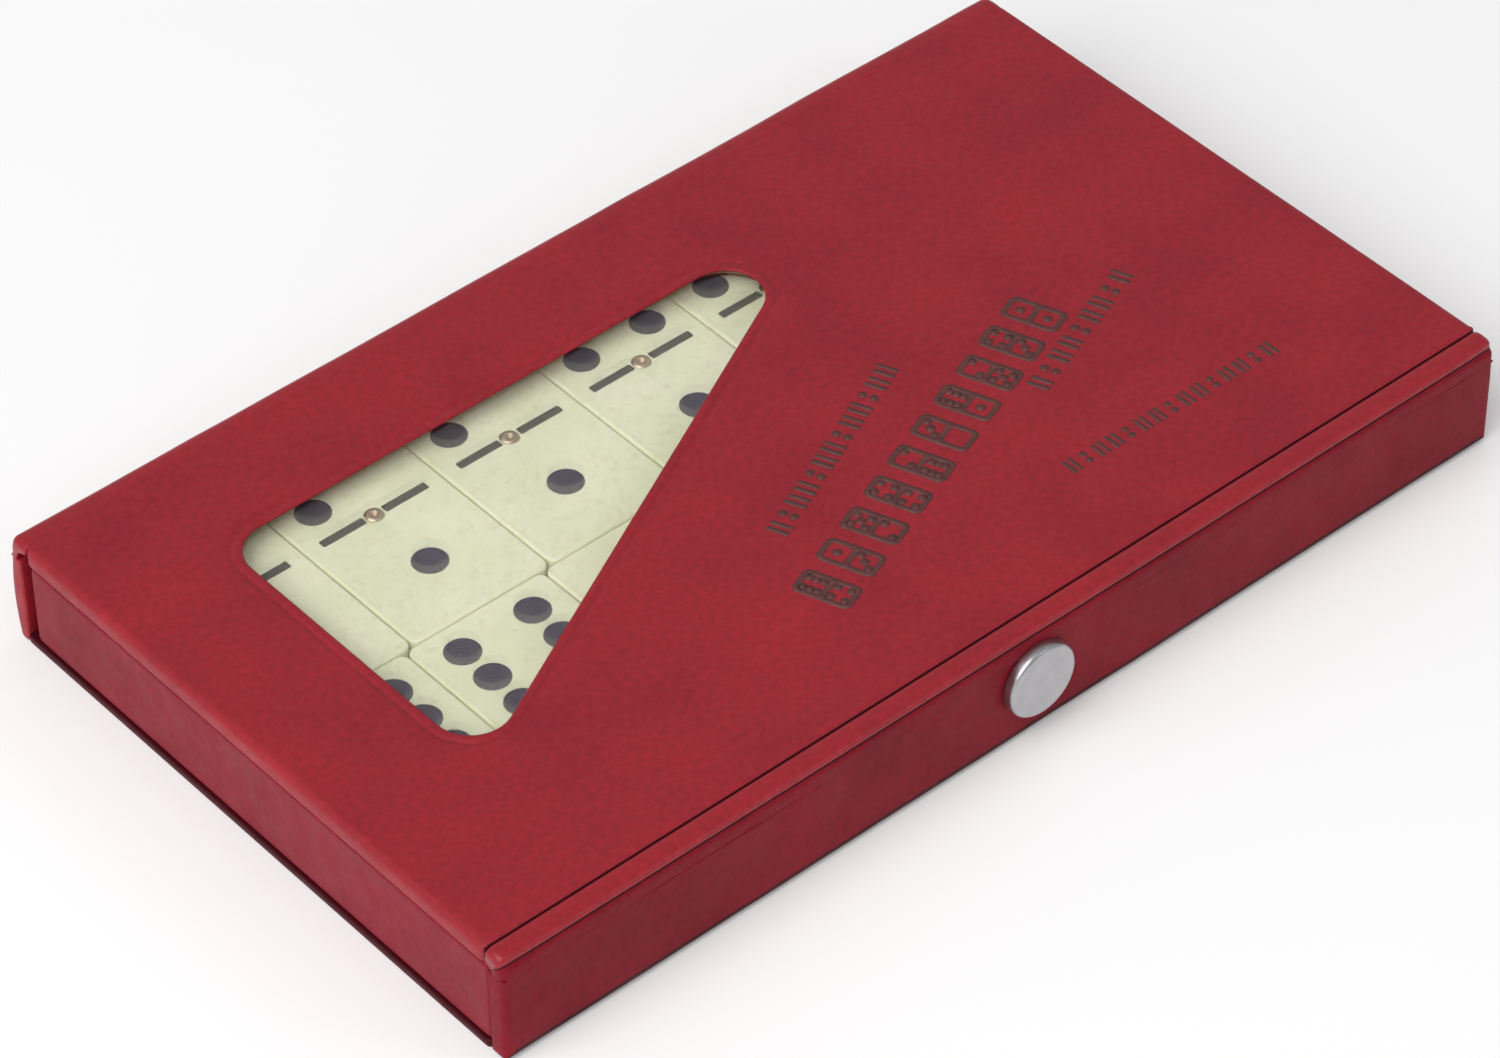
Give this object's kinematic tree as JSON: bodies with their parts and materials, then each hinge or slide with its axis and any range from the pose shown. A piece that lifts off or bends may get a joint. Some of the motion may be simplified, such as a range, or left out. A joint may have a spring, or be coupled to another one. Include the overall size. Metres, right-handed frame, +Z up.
{
  "type": "boxed domino set",
  "caption": "Flat vinyl snap case with a triangular window in its lid, holding a double-six set of domino tiles in two layers.",
  "frame": {"origin": "bottom centre of the whole object's box, on the surface the case lies on", "axes": "+X along the case to the right, +Y from the snap flap to the spine, +Z up through the lid"},
  "size_m": [0.19, 0.115, 0.02],
  "materials": {
    "red_vinyl": "soft grained red vinyl, satin",
    "lining_vinyl": "thin smooth dark red vinyl",
    "greyboard": "matt grey paperboard",
    "clear_film": "clear glossy film",
    "snap_metal": "nickel plated, satin",
    "spring_wire": "drawn wire",
    "pin_brass": "polished, slightly dull",
    "ivory_plastic": "polished ivory plastic with dark inked pips"
  },
  "bodies": {
    "case_base": {"back_card": "greyboard", "bottom_board": "greyboard", "bottom_skin": "red_vinyl", "floor_liner": "lining_vinyl", "front_wall_board": "greyboard", "front_wall_sleeve": "red_vinyl", "left_wall_board": "greyboard", "left_wall_sleeve": "red_vinyl", "right_wall_board": "greyboard", "right_wall_sleeve": "red_vinyl", "snap_stud": "snap_metal", "spine_board": "greyboard", "spine_lining": "lining_vinyl", "spine_skin": "red_vinyl", "spinner_pins": "pin_brass", "stud_rivet": "snap_metal", "tile_0_0": "ivory_plastic", "tile_1_0": "ivory_plastic", "tile_1_1": "ivory_plastic", "tile_2_0": "ivory_plastic", "tile_2_1": "ivory_plastic", "tile_2_2": "ivory_plastic", "tile_3_0": "ivory_plastic", "tile_3_1": "ivory_plastic", "tile_3_2": "ivory_plastic", "tile_3_3": "ivory_plastic", "tile_4_0": "ivory_plastic", "tile_4_1": "ivory_plastic", "tile_4_2": "ivory_plastic", "tile_4_3": "ivory_plastic", "tile_4_4": "ivory_plastic", "tile_5_0": "ivory_plastic", "tile_5_1": "ivory_plastic", "tile_5_2": "ivory_plastic", "tile_5_3": "ivory_plastic", "tile_5_4": "ivory_plastic", "tile_5_5": "ivory_plastic", "tile_6_0": "ivory_plastic", "tile_6_1": "ivory_plastic", "tile_6_2": "ivory_plastic", "tile_6_3": "ivory_plastic", "tile_6_4": "ivory_plastic", "tile_6_5": "ivory_plastic", "tile_6_6": "ivory_plastic"},
    "lid": {"lid_skin": "red_vinyl", "lid_board": "greyboard", "lid_lining": "lining_vinyl", "window_film": "clear_film"},
    "flap": {"flap_skin": "red_vinyl", "flap_board": "greyboard", "flap_lining": "lining_vinyl", "snap_cap": "snap_metal", "snap_socket": "snap_metal", "socket_spring": "spring_wire"}
  },
  "joints": [
    {"name": "lid_hinge", "type": "hinge", "parent": "case_base", "child": "lid", "pos_m": [0, 0.05564, 0.01914], "axis": [-1, 0, 0], "range_deg": [0, 180]},
    {"name": "flap_hinge", "type": "hinge", "parent": "lid", "child": "flap", "pos_m": [0, -0.05464, 0.01914], "axis": [-1, 0, 0], "range_deg": [0, 120]}
  ]
}
